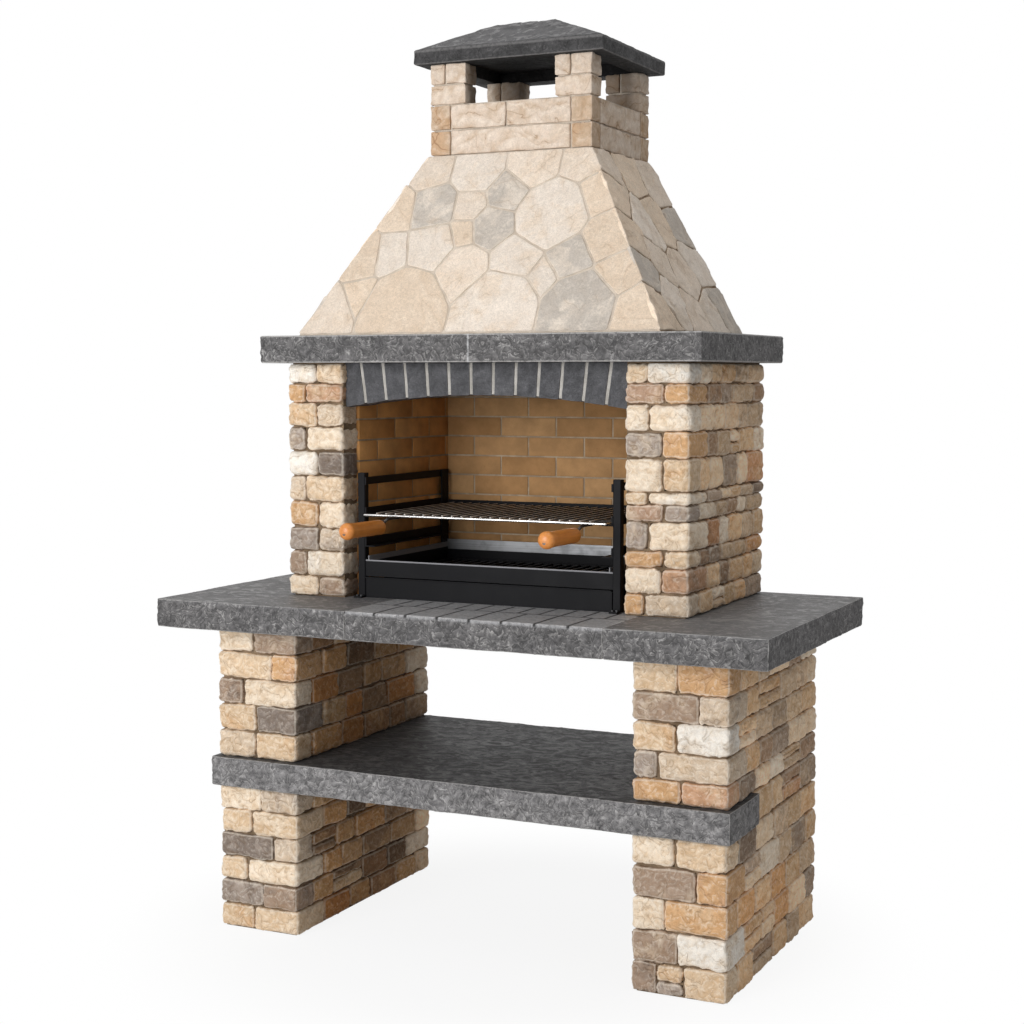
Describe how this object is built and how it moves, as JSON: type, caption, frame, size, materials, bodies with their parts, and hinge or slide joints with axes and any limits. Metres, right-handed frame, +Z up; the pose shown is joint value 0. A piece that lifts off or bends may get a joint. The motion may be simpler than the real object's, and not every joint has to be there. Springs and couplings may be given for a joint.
{
  "type": "masonry barbecue",
  "caption": "Masonry barbecue with stone legs, slab shelf and worktop, brick-lined firebox, sliding grill, ash drawer, flagstone hood and capped chimney.",
  "frame": {"origin": "on the floor, under the middle of the worktop", "axes": "+X to the right seen from the front, +Y to the back, +Z up; the fire opens towards -Y"},
  "size_m": [1.69, 0.84, 2.426],
  "materials": {
    "leg_stone": "rock-faced, warm cream to ochre",
    "pillar_stone": "rock-faced, warm cream to ochre",
    "mortar": "rough mortar",
    "cast_slab": "dark cast concrete, worn at the edges",
    "render_panel": "floated render",
    "hood_pointing": "rough pointing",
    "flagstone": "riven, cream",
    "stack_stone": "rough cut, ochre to cream",
    "cap_concrete": "dark cast concrete",
    "firebrick": "matt fired clay",
    "firebrick_mortar": "fire cement",
    "arch_block": "charcoal, matt",
    "arch_mortar": "pale mortar",
    "black_steel": "satin black",
    "bolt_steel": "zinc plated",
    "guard_steel": "brushed",
    "grill_chrome": "polished",
    "handle_steel": "drawn wire",
    "grip_wood": "varnished"
  },
  "bodies": {
    "masonry": {"anchor_bolts": "bolt_steel", "arch_blocks": "arch_block", "arch_joints": "arch_mortar", "back_lining_bricks": "firebrick", "back_lining_mortar": "firebrick_mortar", "back_panel": "render_panel", "chimney_cap": "cap_concrete", "fire_tray": "black_steel", "hood_back_wall": "render_panel", "hood_front_flags": "flagstone", "hood_front_wall": "hood_pointing", "hood_left_flags": "flagstone", "hood_left_wall": "hood_pointing", "hood_right_flags": "flagstone", "hood_right_wall": "hood_pointing", "left_front_post": "black_steel", "left_leg_core": "mortar", "left_leg_lower_stones": "leg_stone", "left_leg_upper_stones": "leg_stone", "left_lining_bricks": "firebrick", "left_lining_mortar": "firebrick_mortar", "left_pillar_core": "mortar", "left_pillar_stones": "pillar_stone", "lower_runners": "black_steel", "mantel_left": "cast_slab", "mantel_right": "cast_slab", "post_caps": "black_steel", "post_feet": "black_steel", "rear_crossbar": "black_steel", "rear_guard": "guard_steel", "rear_posts": "black_steel", "right_front_post": "black_steel", "right_leg_core": "mortar", "right_leg_lower_stones": "leg_stone", "right_leg_upper_stones": "leg_stone", "right_lining_bricks": "firebrick", "right_lining_mortar": "firebrick_mortar", "right_pillar_core": "mortar", "right_pillar_stones": "pillar_stone", "shelf_slab": "cast_slab", "stack_lower_course": "stack_stone", "stack_mortar": "mortar", "stack_posts": "stack_stone", "stack_upper_course": "stack_stone", "top_rails": "black_steel", "upper_runners": "black_steel", "worktop_centre": "cast_slab", "worktop_left": "cast_slab", "worktop_right": "cast_slab"},
    "cooking_grill": {"grill_cross_rods": "grill_chrome", "grill_wires": "grill_chrome", "handle_rods": "handle_steel", "handle_ferrules": "black_steel", "wooden_grips": "grip_wood"},
    "ash_drawer": {"ash_drawer_tray": "black_steel", "ash_drawer_front": "black_steel"},
    "charcoal_grate": {"charcoal_grate_frame": "black_steel", "charcoal_grate_rods": "black_steel"}
  },
  "joints": [
    {"name": "grill_slide", "type": "slide", "parent": "masonry", "child": "cooking_grill", "axis": [0, -1, 0], "range_m": [0, 0.26]},
    {"name": "ash_drawer_slide", "type": "slide", "parent": "masonry", "child": "ash_drawer", "axis": [0, -1, 0], "range_m": [0, 0.32]},
    {"name": "charcoal_grate_lift", "type": "slide", "parent": "masonry", "child": "charcoal_grate", "axis": [0, 0, 1], "range_m": [0, 0.1]}
  ]
}
